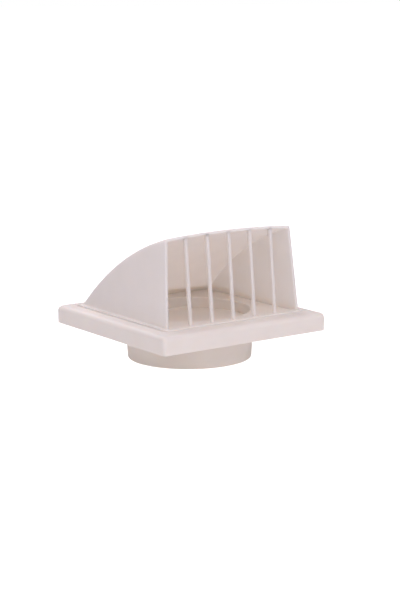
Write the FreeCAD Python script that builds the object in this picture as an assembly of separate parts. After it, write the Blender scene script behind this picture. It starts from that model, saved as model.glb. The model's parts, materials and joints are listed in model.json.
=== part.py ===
import FreeCAD, Part
import math
import os
from FreeCAD import Vector

# Hooded wall outlet for round ducting: a square flange plate carries a drafted hood with a
# barred mouth, and a round duct spigot with a gravity-closed flap is screwed in behind it.
# Millimetres. Origin: spigot axis where it meets the flange's rear (wall) face.
# +Z points out of the wall, the mouth faces -Y, X runs along the mouth.

# ---- flange plate ---------------------------------------------------------------------
FLANGE_SIDE = 150.0
FLANGE_DEPTH = 14.0         # rear rim of the skirt to the front face
FLANGE_WALL = 2.2
FLANGE_CORNER_R = 3.0       # vertical corners of the skirt
FLANGE_EDGE_R = 4.0         # rolled edge between front face and skirt
TRAY_CORNER_R = 2.0
RIB_WALL = 1.6
RIB_FOOT_Z = 9.3            # stiffening ribs under the front face hang down to here
WELD = 0.5                  # overlap that joins one feature to the next

# ---- hood -----------------------------------------------------------------------------
HOOD_WALL = 2.2
CHEEK_HALF = 61.7           # half width over the cheeks at the flange face
CHEEK_DRAFT = 0.0625        # inward lean of each cheek per unit of height
MOUTH_Y = -58.4             # mouth plane at the flange face
MOUTH_LEAN = 0.097          # backward lean of the mouth per unit of height
ROOF_AXIS_Y = -113.0        # the roof is turned about this axis, parallel to X
ROOF_AXIS_Z = -150.9
ROOF_R = 241.2              # on the centre line
CROWN_R = 790.0             # side-to-side crown of the roof
ARCH_EDGE_R = 2.4           # rounding between roof and cheeks
MOUTH_EDGE_R = 0.5
FOOT_HALF = 63.9            # foot rim round the hood's base
FOOT_FRONT_Y = -61.6
FOOT_BACK_Y = 64.4
FOOT_HEIGHT = 1.2
FOOT_CORNER_R = 3.0
FOOT_FILLET_R = 1.6         # hollow between hood wall and foot rim
SILL_INNER_Y = -55.6

# ---- snap tabs under the hood's foot ----------------------------------------------------
TAB_WALL = 2.0
TAB_WIDTH = 8.0
TAB_REACH = 5.2             # below the flange face
TAB_BARB = 1.1
TAB_CHAMFER = 0.6
TAB_PLAY = 0.1
TAB_SIDE_X = 60.6
TAB_SIDE_Y = 28.0
TAB_FRONT_Y = -59.0
TAB_FRONT_X = 29.3
TAB_BACK_Y = 62.1
TAB_BACK_X = 22.0

# ---- grille bars ------------------------------------------------------------------------
BAR_COUNT = 5
BAR_PITCH = 19.53
BAR_WIDTH = 2.3
BAR_DEPTH_FOOT = 2.6
BAR_DEPTH_TOP = 3.6
BAR_EDGE_R = 0.35
BAR_LET_IN = 0.8            # into the sill
BAR_SKIN = 1.1              # hood skin left over a bar's top end

# ---- spigot -----------------------------------------------------------------------------
SPIGOT_R = 48.7             # fits inside 100 mm ducting
BORE_R = 46.5               # air way below the flap's ledge
POCKET_R = 47.1             # round well in which the flap lies
SPIGOT_LENGTH = 23.0        # below the wall face
LEAD_IN_Z = -14.0           # the outside narrows from here to the free end
LEAD_IN_R = 48.15
RIM_ROUND_R = 0.6
HUB_R = 50.2                # thicker above the wall face
PLATE_R = 56.0              # round plate that clamps the spigot behind the flange
PLATE_Z = 6.8
PLATE_WALL = 2.5
SEAT_Z = 4.5                # top of the ledge on which the flap closes
SEAT_WALL = 1.3
SEAT_R = 43.0
SEAT_END_Y = 35.6           # the ledge stops short of the hinge

# ---- screws -----------------------------------------------------------------------------
SCREW_PCR = 68.0            # pitch circle radius, on the diagonals
SCREW_R = 1.5
SCREW_LENGTH = 6.0
HEAD_R = 2.8
HEAD_HEIGHT = 1.9
HEAD_EDGE = 0.5             # upright edge of the pan head
HEAD_SHOULDER = (0.72, 0.3) # fraction of head radius and height where the dome turns
TIP_LENGTH = 1.4
RECESS_HALF = (1.5, 0.35)   # half length and half width of one arm of the cross recess
RECESS_DEPTH = 1.1
EAR_R = 5.2
BOSS_R = 3.6

# ---- flap and hinge ---------------------------------------------------------------------
HINGE_Y = 38.0
HINGE_Z = 5.3
FLAP_R = 46.3
FLAP_WALL = 1.3
FLAP_Z = 4.6                # underside, just off the ledge
PIN_R = 1.0
PIN_HALF = 31.5             # the ends stop inside the collar's wall
PIN_PLAY = 0.06             # radial, in the flap only
KNUCKLE_R = 1.95
KNUCKLE_HALF = 24.2
KNUCKLE_PLAY = 0.4
FLAP_RIB_DEPTH = 1.1
FLAP_RIB_WALL = 1.2
FLAP_RIB_RING_R = 26.0
FLAP_RIB_XS = (-16.0, 0.0, 16.0)
FLAP_RIB_INSET = 2.0        # from the ledge's inner edge to the ribs' ends
FLAT_ANGLES = (18.5, 52.5)  # rim angles of the flat that lets each shoulder clear the bore

FLANGE_HALF = FLANGE_SIDE / 2
FLOOR_Z = FLANGE_DEPTH
TRAY_Z = FLANGE_DEPTH - FLANGE_WALL
SILL_Z = FLOOR_Z + FOOT_HEIGHT
SPIGOT_END_Z = -SPIGOT_LENGTH
HIGH_Z = 100.0
NEAR = 1e-3
UP = Vector(0, 0, 1)
ORIGIN = Vector(0, 0, 0)
DIAGONALS = (45, 135, 225, 315)


# ---- plain shapes -----------------------------------------------------------------------
def box(xs, ys, zs):
    """Box between two limits on each axis."""
    corner = Vector(xs[0], ys[0], zs[0])
    return Part.makeBox(xs[1] - xs[0], ys[1] - ys[0], zs[1] - zs[0], corner)


def rounded_box(xs, ys, zs, radius):
    """Box whose four vertical edges are rounded."""
    plain = box(xs, ys, zs)
    return plain.makeFillet(radius, [edge for edge in plain.Edges if is_vertical(edge)])


def cylinder(radius, z_low, z_high, x=0.0, y=0.0):
    return Part.makeCylinder(radius, z_high - z_low, Vector(x, y, z_low))


def ring(outer, inner, z_low, z_high):
    return cylinder(outer, z_low, z_high).cut(cylinder(inner, z_low - 1, z_high + 1))


def rod_x(radius, half_length):
    """Rod along the hinge axis, centred on the middle of the part."""
    start = Vector(-half_length, HINGE_Y, HINGE_Z)
    return Part.makeCylinder(radius, 2 * half_length, start, Vector(1, 0, 0))


def prism(corners, push):
    """Closed outline pushed along a vector."""
    wire = Part.makePolygon(corners + corners[:1])
    return Part.Face(wire).extrude(push)


def turned(shape, degrees):
    """The shape turned about the spigot axis."""
    copy = shape.copy()
    copy.rotate(ORIGIN, UP, degrees)
    return copy


def is_vertical(edge):
    bounds = edge.BoundBox
    return bounds.XLength < 1e-6 and bounds.YLength < 1e-6


def fused(shapes):
    return shapes[0].multiFuse(shapes[1:]).removeSplitter()


# ---- the hood's own surfaces --------------------------------------------------------------
def mouth_y(z):
    """Y of the leaning mouth plane at height z."""
    return MOUTH_Y + MOUTH_LEAN * (z - FLOOR_Z)


def roof_body(skin):
    """Everything under the crowned roof, which is lowered by skin along its normal."""
    half = FLANGE_HALF
    radius = CROWN_R - skin
    crown_z = ROOF_AXIS_Z + ROOF_R - CROWN_R
    rise = math.sqrt(radius ** 2 - half ** 2)
    left = Vector(-half, ROOF_AXIS_Y, crown_z + rise)
    top = Vector(0, ROOF_AXIS_Y, crown_z + radius)
    right = Vector(half, ROOF_AXIS_Y, crown_z + rise)
    low = ROOF_AXIS_Z + ROOF_R / 2
    low_right = Vector(half, ROOF_AXIS_Y, low)
    low_left = Vector(-half, ROOF_AXIS_Y, low)
    outline = Part.Wire([
        Part.Arc(left, top, right).toShape(),
        Part.makeLine(right, low_right),
        Part.makeLine(low_right, low_left),
        Part.makeLine(low_left, left),
    ])
    axis_point = Vector(0, ROOF_AXIS_Y, ROOF_AXIS_Z)
    return Part.Face(outline).revolve(axis_point, Vector(-1, 0, 0), 60)


def cheek_body(skin):
    """Everything between the two drafted cheeks, each moved inwards by skin."""
    z_low = TRAY_Z
    wide = CHEEK_HALF - skin - CHEEK_DRAFT * (z_low - FLOOR_Z)
    narrow = CHEEK_HALF - skin - CHEEK_DRAFT * (HIGH_Z - FLOOR_Z)
    y = -FLANGE_SIDE
    corners = [
        Vector(-wide, y, z_low),
        Vector(wide, y, z_low),
        Vector(narrow, y, HIGH_Z),
        Vector(-narrow, y, HIGH_Z),
    ]
    return prism(corners, Vector(0, 2 * FLANGE_SIDE, 0))


def behind_mouth(z_low):
    """Everything behind the mouth plane and above z_low."""
    corners = [
        Vector(-FLANGE_HALF, mouth_y(z_low), z_low),
        Vector(-FLANGE_HALF, FLANGE_HALF, z_low),
        Vector(-FLANGE_HALF, FLANGE_HALF, HIGH_Z),
        Vector(-FLANGE_HALF, mouth_y(HIGH_Z), HIGH_Z),
    ]
    return prism(corners, Vector(FLANGE_SIDE, 0, 0))


def hood_cavity():
    """Air space inside the hood, open at the mouth above the sill and open at the floor."""
    inside = roof_body(HOOD_WALL).common(cheek_body(HOOD_WALL))
    wide = (-FLANGE_HALF, FLANGE_HALF)
    above_sill = box(wide, (-FLANGE_HALF, FLANGE_HALF), (SILL_Z, HIGH_Z))
    at_floor = box(wide, (SILL_INNER_Y, FLANGE_HALF), (FLOOR_Z - 1, SILL_Z))
    return inside.common(above_sill.fuse(at_floor))


# ---- snap tabs ----------------------------------------------------------------------------
def tab():
    """Barbed tab at the spigot axis; its barb points along +X."""
    half = TAB_WALL / 2
    tip_z = FLOOR_Z - TAB_REACH
    barb_z = TRAY_Z - TAB_PLAY
    y = -TAB_WIDTH / 2
    corners = [
        Vector(-half, y, FLOOR_Z + WELD),
        Vector(-half, y, tip_z),
        Vector(half - TAB_CHAMFER, y, tip_z),
        Vector(half + TAB_BARB, y, barb_z - TAB_CHAMFER),
        Vector(half + TAB_BARB, y, barb_z),
        Vector(half, y, barb_z),
        Vector(half, y, FLOOR_Z + WELD),
    ]
    return prism(corners, Vector(0, TAB_WIDTH, 0))


def tab_slot():
    half_x = TAB_WALL / 2 + TAB_PLAY
    half_y = TAB_WIDTH / 2 + TAB_PLAY
    return box((-half_x, half_x), (-half_y, half_y), (TRAY_Z - 1, FLOOR_Z + 1))


def at_tab_places(shape):
    """One copy of a tab-sized shape at each of the eight tab places, barbs outwards."""
    places = []
    for side in (-1, 1):
        places.append((TAB_SIDE_X, side * TAB_SIDE_Y, 0))
        places.append((-TAB_SIDE_X, side * TAB_SIDE_Y, 180))
        places.append((side * TAB_BACK_X, TAB_BACK_Y, 90))
        places.append((side * TAB_FRONT_X, TAB_FRONT_Y, 270))
    copies = []
    for x, y, angle in places:
        copy = turned(shape, angle)
        copy.translate(Vector(x, y, 0))
        copies.append(copy)
    return copies


# ---- sub-parts ----------------------------------------------------------------------------
def grille_bar(x):
    """Upright bar, flush with the mouth plane and let into the sill and the roof's lip."""
    z_low = SILL_Z - BAR_LET_IN
    half = BAR_WIDTH / 2
    corners = [
        Vector(x - half, mouth_y(z_low), z_low),
        Vector(x - half, mouth_y(z_low) + BAR_DEPTH_FOOT, z_low),
        Vector(x - half, mouth_y(HIGH_Z) + BAR_DEPTH_TOP, HIGH_Z),
        Vector(x - half, mouth_y(HIGH_Z), HIGH_Z),
    ]
    bar = prism(corners, Vector(BAR_WIDTH, 0, 0))
    long_edges = [edge for edge in bar.Edges if edge.BoundBox.ZLength > HIGH_Z / 2]
    return bar.makeFillet(BAR_EDGE_R, long_edges).common(roof_body(BAR_SKIN))


def cowl_hood(bars):
    """Roof, cheeks, sill and foot rim in one shell, with snap tabs under the foot."""
    body = roof_body(0).common(cheek_body(0)).common(behind_mouth(FLOOR_Z))
    arch_edges = [
        edge for edge in body.Edges
        if edge.BoundBox.YLength > FLANGE_HALF and edge.BoundBox.ZLength > FLANGE_HALF / 2
    ]
    body = body.makeFillet(ARCH_EDGE_R, arch_edges)
    foot = rounded_box(
        (-FOOT_HALF, FOOT_HALF), (FOOT_FRONT_Y, FOOT_BACK_Y), (FLOOR_Z, SILL_Z), FOOT_CORNER_R
    )
    body = body.fuse(foot).removeSplitter()
    hollow_edges = [edge for edge in body.Edges if is_foot_joint(edge)]
    body = body.makeFillet(FOOT_FILLET_R, hollow_edges)
    front_edges = [edge for edge in body.Edges if is_mouth_edge(edge)]
    body = body.makeFillet(MOUTH_EDGE_R, front_edges)
    shell = body.cut(hood_cavity()).cut(Part.makeCompound(bars))
    return fused([shell] + at_tab_places(tab()))


def is_foot_joint(edge):
    """Edges where the hood's walls meet the top of the foot rim, behind the mouth."""
    bounds = edge.BoundBox
    flat = abs(bounds.ZMin - SILL_Z) < NEAR and abs(bounds.ZMax - SILL_Z) < NEAR
    inside = max(bounds.XMax, -bounds.XMin) < FOOT_HALF - WELD
    behind = bounds.YMax < FOOT_BACK_Y - WELD and bounds.YMax > mouth_y(SILL_Z) + WELD
    return flat and inside and behind


def is_mouth_edge(edge):
    """Upright and top edges of the solid body in the mouth plane."""
    points = edge.discretize(5)
    in_plane = all(abs(point.y - mouth_y(point.z)) < NEAR for point in points)
    return in_plane and edge.BoundBox.ZMax > 2 * SILL_Z


def flange_plate():
    """Square tray, open at the rear, with a round air way and slots for the hood's tabs."""
    side = (-FLANGE_HALF, FLANGE_HALF)
    plate = rounded_box(side, side, (0, FLANGE_DEPTH), FLANGE_CORNER_R)
    rim = [edge for edge in plate.Edges if edge.BoundBox.ZMin > FLANGE_DEPTH - NEAR]
    plate = plate.makeFillet(FLANGE_EDGE_R, rim)
    inner = FLANGE_HALF - FLANGE_WALL
    tray = rounded_box((-inner, inner), (-inner, inner), (-1, TRAY_Z), TRAY_CORNER_R)
    plate = plate.cut(tray)

    rib_y = (-RIB_WALL / 2, RIB_WALL / 2)
    rib_z = (RIB_FOOT_Z, TRAY_Z + WELD)
    corner_reach = (inner - TRAY_CORNER_R) * math.sqrt(2) + TRAY_CORNER_R
    mid_rib = box((PLATE_R + 1, inner + WELD), rib_y, rib_z)
    corner_rib = box((SCREW_PCR + 1, corner_reach + WELD), rib_y, rib_z)
    boss = cylinder(BOSS_R, RIB_FOOT_Z, TRAY_Z + WELD, x=SCREW_PCR)
    added = [turned(mid_rib, angle) for angle in (0, 90, 180, 270)]
    added += [turned(corner_rib, angle) for angle in DIAGONALS]
    added += [turned(boss, angle) for angle in DIAGONALS]
    plate = fused([plate] + added)

    screw_z = PLATE_Z + SCREW_LENGTH
    screw_hole = cylinder(SCREW_R, PLATE_Z, screw_z, x=SCREW_PCR)
    removed = [cylinder(POCKET_R, -1, FLANGE_DEPTH + 1)]
    removed += [turned(screw_hole, angle) for angle in DIAGONALS]
    removed += at_tab_places(tab_slot())
    return plate.cut(Part.makeCompound(removed))


def spigot():
    """Duct collar with the flap's ledge and pin holes, and a clamp plate with four ears."""
    outside = Part.makePolygon([
        Vector(BORE_R, 0, SPIGOT_END_Z),
        Vector(LEAD_IN_R, 0, SPIGOT_END_Z),
        Vector(SPIGOT_R, 0, LEAD_IN_Z),
        Vector(SPIGOT_R, 0, 0),
        Vector(HUB_R, 0, 0),
        Vector(HUB_R, 0, TRAY_Z),
        Vector(BORE_R, 0, TRAY_Z),
        Vector(BORE_R, 0, SPIGOT_END_Z),
    ])
    tube = Part.Face(outside).revolve(ORIGIN, UP, 360)
    free_rim = [edge for edge in tube.Edges if edge.BoundBox.ZMax < SPIGOT_END_Z + NEAR]
    tube = tube.makeFillet(RIM_ROUND_R, free_rim)

    plate_z = (PLATE_Z, PLATE_Z + PLATE_WALL)
    plate = cylinder(PLATE_R, *plate_z)
    ear = cylinder(EAR_R, *plate_z, x=SCREW_PCR)
    ear_neck = box((HUB_R, SCREW_PCR), (-EAR_R, EAR_R), plate_z)
    ears = [turned(shape, angle) for shape in (ear, ear_neck) for angle in DIAGONALS]
    ledge_z = (SEAT_Z - SEAT_WALL, SEAT_Z)
    ledge = ring(POCKET_R + WELD, SEAT_R, *ledge_z)
    side = (-FLANGE_HALF, FLANGE_HALF)
    ledge = ledge.common(box(side, (-FLANGE_HALF, SEAT_END_Y), ledge_z))

    bore = cylinder(BORE_R, 0, ledge_z[0])
    pocket = cylinder(POCKET_R, ledge_z[0], TRAY_Z + 1)
    outer = fused([tube, plate] + ears).cut(bore.fuse(pocket))
    outer = fused([outer, ledge])
    hole = cylinder(SCREW_R, PLATE_Z - 1, PLATE_Z + PLATE_WALL + 1, x=SCREW_PCR)
    holes = [turned(hole, angle) for angle in DIAGONALS]
    return outer.cut(Part.makeCompound(holes + [rod_x(PIN_R, HUB_R)]))


def flap():
    """Round shutter hung off centre, so that it falls shut on the ledge."""
    disc = cylinder(FLAP_R, FLAP_Z, FLAP_Z + FLAP_WALL)
    knuckle = rod_x(KNUCKLE_R, KNUCKLE_HALF)
    rib_z = (FLAP_Z - FLAP_RIB_DEPTH, FLAP_Z + FLAP_WALL / 2)
    rib_ring = ring(FLAP_RIB_RING_R, FLAP_RIB_RING_R - FLAP_RIB_WALL, *rib_z)
    ribs = [rib_ring]
    for x in FLAP_RIB_XS:
        half = FLAP_RIB_WALL / 2
        low_y = -math.sqrt((SEAT_R - FLAP_RIB_INSET) ** 2 - x ** 2)
        ribs.append(box((x - half, x + half), (low_y, HINGE_Y), rib_z))
    plate = fused([disc, knuckle] + ribs)
    bearing = rod_x(PIN_R + PIN_PLAY, FLAP_R)
    reach = KNUCKLE_R + KNUCKLE_PLAY
    relief_y = (HINGE_Y - reach, HINGE_Y + reach)
    reliefs = []
    for side in (-1, 1):
        xs = sorted((side * KNUCKLE_HALF, side * FLAP_R))
        reliefs.append(box(xs, relief_y, (0, TRAY_Z)))
        reliefs.append(shoulder_flat(side))
    return plate.cut(Part.makeCompound([bearing] + reliefs))


def shoulder_flat(side):
    """Wedge outside the chord that cuts one shoulder of the disc flat."""
    near, far = FLAT_ANGLES
    reach = FLAP_R * 1.2
    polar = ((FLAP_R, near), (reach, (near + far) / 2), (FLAP_R, far))
    corners = []
    for radius, angle in polar:
        turn = math.radians(angle)
        corners.append(Vector(side * radius * math.cos(turn), radius * math.sin(turn), 0))
    return prism(corners, Vector(0, 0, TRAY_Z))


def screw():
    """Pan-head self-tapping screw that enters upwards at the pitch circle."""
    low = PLATE_Z - HEAD_HEIGHT
    tip_z = PLATE_Z + SCREW_LENGTH
    shoulder = Vector(HEAD_R * HEAD_SHOULDER[0], 0, low + HEAD_HEIGHT * HEAD_SHOULDER[1])
    edge = Vector(HEAD_R, 0, PLATE_Z - HEAD_EDGE)
    corners = [
        edge,
        Vector(HEAD_R, 0, PLATE_Z),
        Vector(SCREW_R, 0, PLATE_Z),
        Vector(SCREW_R, 0, tip_z - TIP_LENGTH),
        Vector(0, 0, tip_z),
        Vector(0, 0, low),
    ]
    dome = Part.Arc(Vector(0, 0, low), shoulder, edge).toShape()
    outline = Part.Wire([dome] + Part.makePolygon(corners).Edges)
    blank = Part.Face(outline).revolve(ORIGIN, UP, 360)
    length, width = RECESS_HALF
    arm = box((-length, length), (-width, width), (low - 1, low + RECESS_DEPTH))
    return blank.cut(arm.fuse(turned(arm, 90)))


def screws():
    one = screw()
    one.translate(Vector(SCREW_PCR, 0, 0))
    return Part.makeCompound([turned(one, angle) for angle in DIAGONALS])


def bar_places():
    middle = (BAR_COUNT - 1) / 2
    return [(index - middle) * BAR_PITCH for index in range(BAR_COUNT)]


def main():
    os.makedirs("parts", exist_ok=True)
    bars = [grille_bar(x) for x in bar_places()]
    nodes = {
        "cowl_hood": cowl_hood(bars),
        "flange_plate": flange_plate(),
        "spigot": spigot(),
        "flap": flap(),
        "hinge_pin": rod_x(PIN_R, PIN_HALF),
        "clamp_screws": screws(),
    }
    for number, bar in enumerate(bars, start=1):
        nodes["grille_bar_%d" % number] = bar
    for name, shape in nodes.items():
        print(name, "valid", shape.isValid(), "solids", len(shape.Solids), "volume %.0f" % shape.Volume)
        shape.exportStep("parts/%s.step" % name)


main()
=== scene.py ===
import json
import math

import bmesh
import bpy
from mathutils import Matrix, Vector

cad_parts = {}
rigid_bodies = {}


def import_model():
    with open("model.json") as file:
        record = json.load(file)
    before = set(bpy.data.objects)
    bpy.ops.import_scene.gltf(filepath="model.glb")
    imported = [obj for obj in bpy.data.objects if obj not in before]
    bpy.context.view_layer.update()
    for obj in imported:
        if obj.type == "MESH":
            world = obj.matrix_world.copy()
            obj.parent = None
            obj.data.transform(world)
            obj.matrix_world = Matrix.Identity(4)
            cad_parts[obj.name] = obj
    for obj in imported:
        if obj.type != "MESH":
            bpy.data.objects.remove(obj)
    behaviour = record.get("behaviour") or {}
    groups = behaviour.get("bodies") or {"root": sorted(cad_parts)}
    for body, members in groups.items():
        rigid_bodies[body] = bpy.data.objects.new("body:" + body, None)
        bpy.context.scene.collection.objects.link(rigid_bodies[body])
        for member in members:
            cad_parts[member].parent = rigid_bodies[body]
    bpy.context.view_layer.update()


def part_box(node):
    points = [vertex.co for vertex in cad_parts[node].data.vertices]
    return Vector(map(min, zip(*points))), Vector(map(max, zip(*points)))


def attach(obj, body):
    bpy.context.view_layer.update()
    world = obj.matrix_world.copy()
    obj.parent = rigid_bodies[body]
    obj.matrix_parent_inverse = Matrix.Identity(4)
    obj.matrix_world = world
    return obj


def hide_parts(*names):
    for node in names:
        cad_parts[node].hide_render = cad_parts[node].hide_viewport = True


# A hooded wall vent: square flange, hood with a barred mouth, duct spigot with a gravity flap.
# Shapes are worked out in millimetres in the CAD's own frame and scaled when a mesh is made.

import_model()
MM = 0.001


def box_mm(node):
    """Lowest and highest corner of a CAD node, in millimetres."""
    low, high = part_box(node)
    return Vector(low) / MM, Vector(high) / MM


# ---- sizes taken from the frame ---------------------------------------------------------------
FLANGE_HIGH = box_mm("flange_plate")[1]
HOOD_LOW, HOOD_HIGH = box_mm("cowl_hood")
SPIGOT_END_Z = box_mm("spigot")[0].z
FLAP_R = box_mm("flap")[1].x
PIN_LOW, PIN_HIGH = box_mm("hinge_pin")
SCREW_LOW, SCREW_HIGH = box_mm("clamp_screws")
BAR_BOXES = [box_mm("grille_bar_%d" % number) for number in range(1, 6)]

FLANGE_HALF = FLANGE_HIGH.x
FLOOR_Z = FLANGE_HIGH.z
FOOT_HALF = HOOD_HIGH.x
FOOT_FRONT_Y = HOOD_LOW.y
FOOT_BACK_Y = HOOD_HIGH.y
HINGE_Y = (PIN_LOW.y + PIN_HIGH.y) / 2
HINGE_Z = (PIN_LOW.z + PIN_HIGH.z) / 2
PIN_R = (PIN_HIGH.z - PIN_LOW.z) / 2
PIN_HALF = PIN_HIGH.x

# ---- flange -----------------------------------------------------------------------------------
FLANGE_WALL = 2.2
FLANGE_CORNER_R = 3.0
FLANGE_EDGE_R = 4.0
FLANGE_EDGE_CORNER_R = 1.2      # corner radius left where the rolled edge meets the face
TRAY_CORNER_R = 2.0
TRAY_FILLET_R = 0.8
TRAY_Z = FLOOR_Z - FLANGE_WALL
RIM_R = 0.3                     # small rounding on free rims
ROUND_SHARE = 0.3               # how far in the middle point of a two-step rounding lies, in radii
RIB_WALL = 1.6
RIB_GAP = 1.0                   # from the clamp plate or a screw axis to the start of a rib
RIB_FOOT_Z = 9.3
WELD = 0.4                      # how far a rib or boss goes into the wall it grows from
HOLE_EDGE_R = 0.4
BOSS_R = 3.6
RIB_EDGE_R = 0.15
SLOT_EDGE_R = 0.1
CUT_PAST = 1.0                  # how far a cutting tool goes past the wall it opens

# ---- hood -------------------------------------------------------------------------------------
HOOD_WALL = 2.2
CHEEK_HALF = 61.7
CHEEK_DRAFT = 0.0625
MOUTH_Y = -58.4
MOUTH_LEAN = 0.097
ROOF_AXIS_Y = -113.0
ROOF_AXIS_Z = -150.9
ROOF_R = 241.18
CROWN_R = 790.0
ARCH_R = 2.4                    # rounding between roof and cheeks, outside
ARCH_INNER_R = 0.6
MOUTH_EDGE_R = 0.5
FOOT_HEIGHT = 1.2
FOOT_CORNER_R = 3.0
FOOT_EDGE_R = 0.35
FOOT_FILLET_R = 1.6
SILL_INNER_Y = -55.6
SILL_Z = FLOOR_Z + FOOT_HEIGHT

# ---- snap tabs --------------------------------------------------------------------------------
TAB_WALL = 2.0
TAB_WIDTH = 8.0
TAB_REACH = 5.2
TAB_BARB = 1.1
TAB_CHAMFER = 0.6
TAB_PLAY = 0.1
TAB_PLACES = [(60.6, 28.0, 0), (60.6, -28.0, 0), (-60.6, 28.0, 180), (-60.6, -28.0, 180),
              (22.0, 62.1, 90), (-22.0, 62.1, 90), (29.3, -59.0, 270), (-29.3, -59.0, 270)]

# ---- grille bars ------------------------------------------------------------------------------
BAR_SETBACK = 0.12              # behind the mouth plane, so that the lip stays the foremost edge
BAR_DEPTH_FOOT = 2.6
BAR_DEPTH_TOP = 3.6
BAR_EDGE_R = 0.35
BAR_TAPER_TOP_Z = 100.0         # height at which a bar would reach its full depth
BAR_BITE = 0.5                  # how far each end goes into the hood's wall

# ---- spigot, ledge and flap ---------------------------------------------------------------------
SPIGOT_R = 48.7
BORE_R = 46.5
POCKET_R = 47.1
LEAD_IN_Z = -14.0
LEAD_IN_R = 48.15
SPIGOT_RIM_R = 0.6
HUB_R = 50.2
HUB_STEP = 0.2
PLATE_R = 56.0
PLATE_Z = 6.8
PLATE_WALL = 2.5
PLATE_EDGE_R = 0.3
SEAT_Z = 4.5
SEAT_WALL = 1.3
SEAT_R = 43.0
SEAT_EDGE_R = 0.25
SEAT_BITE = 0.5                 # how far the ledge goes into the collar
SEAT_ENDS = (130, 410)          # degrees; the ledge leaves out the hinge side
SCREW_PCR = 68.0
SCREW_R = 1.5
EAR_R = 5.2
HEAD_R = 2.8
HEAD_DOME = 2.4
HEAD_EDGE = 0.8
TIP_LENGTH = 1.4
HEAD_LIP = 0.1
SCREW_TWIST = 1.7               # turns each cross recess another way
RECESS_HALF = 1.5
RECESS_WALL = 0.7
RECESS_DEPTH = 1.1
RECESS_EDGE_R = 0.05
FLAP_WALL = 1.3
FLAP_Z = 4.6
FLAP_EDGE_R = 0.3
FLAT_ANGLES = (18.5, 52.5)
KNUCKLE_R = 1.95
KNUCKLE_HALF = 24.2
KNUCKLE_PLAY = 0.4              # between the knuckle and the flap's notches
PIN_PLAY = 0.06
PIN_CHAMFER = 0.25
KNUCKLE_CHAMFER = 0.2
HOLE_CHAMFER = 0.1
FLAP_RIB_DEPTH = 1.1
FLAP_RIB_WALL = 1.2
FLAP_RIB_EDGE_R = 0.2
FLAP_RIB_RING_R = 26.0
FLAP_RIB_XS = (-16.0, 0.0, 16.0)
FLAP_RIB_INSET = 2.0
DIAGONALS = (45, 135, 225, 315)

# ---- light settings -----------------------------------------------------------------------------
LIGHT_SIZE = 1.2
DIFFUSE_BOUNCES = 16
LIGHT_DISTANCE = 1.5
LIGHT_AIM_Z = 0.02
WORLD_LIGHT = 0.30              # strength on the object; the camera sees white
FLOOR_GLOW = 0.1                # the floor's own light on the object
FLOOR_SEEN = 0.95               # and in the camera
LIGHT_TINT = (1.0, 0.91, 0.95)
SOFT_BOXES = [                  # name, azimuth and elevation in degrees, watts
    ("key", -35, 28, 2.8),
    ("camera_fill", -35, 14, 0.8),
    ("high_front", 0, 45, 3.3),
    ("low_front", 10, 20, 1.5),
    ("left_fill", -75, 25, 0.6),
    ("top", -10, 75, 4.8),
    ("back", 180, 35, 10.0),
]


# ---- mesh building ------------------------------------------------------------------------------
WELD_DISTANCE = 2e-7            # metres
SHARPEST_MITRE = 0.4            # limits how far a corner moves when an outline is inset
ROUND_STEPS = 168               # points round the large circles


class Shell:
    """Patches of faces in millimetres, welded into one mesh."""

    def __init__(self):
        self.bm = bmesh.new()

    def points(self, row):
        return [self.bm.verts.new(Vector(point) * MM) for point in row]

    def face(self, corners):
        self.bm.faces.new(self.points(corners))

    def grid(self, rows, closed=False):
        """Quads between rows of points; closed joins each row's end to its start."""
        made = [self.points(row) for row in rows]
        count = len(made[0])
        for low, high in zip(made, made[1:]):
            for index in range(count if closed else count - 1):
                after = (index + 1) % count
                self.bm.faces.new((low[index], low[after], high[after], high[index]))

    def weld(self):
        bmesh.ops.remove_doubles(self.bm, verts=self.bm.verts, dist=WELD_DISTANCE)
        bmesh.ops.recalc_face_normals(self.bm, faces=self.bm.faces)

    def mesh(self, name):
        self.weld()
        mesh = bpy.data.meshes.new(name)
        self.bm.to_mesh(mesh)
        self.bm.free()
        return mesh


def lerp(a, b, t):
    return a + (b - a) * t


def arc(radius, start, end, steps, x=0.0, y=0.0):
    """Points on a flat arc, angles in degrees, both ends included."""
    found = []
    for step in range(steps + 1):
        angle = math.radians(lerp(start, end, step / steps))
        found.append((x + radius * math.cos(angle), y + radius * math.sin(angle)))
    return found


def rounded_outline(half_x, low_y, high_y, radius, steps, corner_steps=6):
    """Closed outline of a rounded rectangle, anticlockwise from the right end of the low side."""
    ends = (
        (half_x - radius, low_y + radius, -90),
        (half_x - radius, high_y - radius, 0),
        (-half_x + radius, high_y - radius, 90),
        (-half_x + radius, low_y + radius, 180),
    )
    outline = []
    for index, (x, y, start) in enumerate(ends):
        outline += arc(radius, start, start + 90, corner_steps, x, y)
        last = Vector(outline[-1])
        x, y, start = ends[(index + 1) % 4]
        first = Vector(arc(radius, start, start + 90, 1, x, y)[0])
        outline += [tuple(last.lerp(first, step / steps)) for step in range(1, steps)]
    return outline


def inset(outline, distance):
    """The closed anticlockwise outline moved inwards along its mitred normals."""
    moved = []
    count = len(outline)
    for index in range(count):
        before = Vector(outline[index - 1])
        here = Vector(outline[index])
        after = Vector(outline[(index + 1) % count])
        first = (here - before).normalized()
        second = (after - here).normalized()
        normal = Vector((-first.y - second.y, first.x + second.x)).normalized()
        stretch = max(SHARPEST_MITRE, normal.dot(Vector((-first.y, first.x))))
        moved.append(tuple(here + normal * distance / stretch))
    return moved


def raised(outline, z):
    return [(x, y, z) for x, y in outline]


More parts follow.
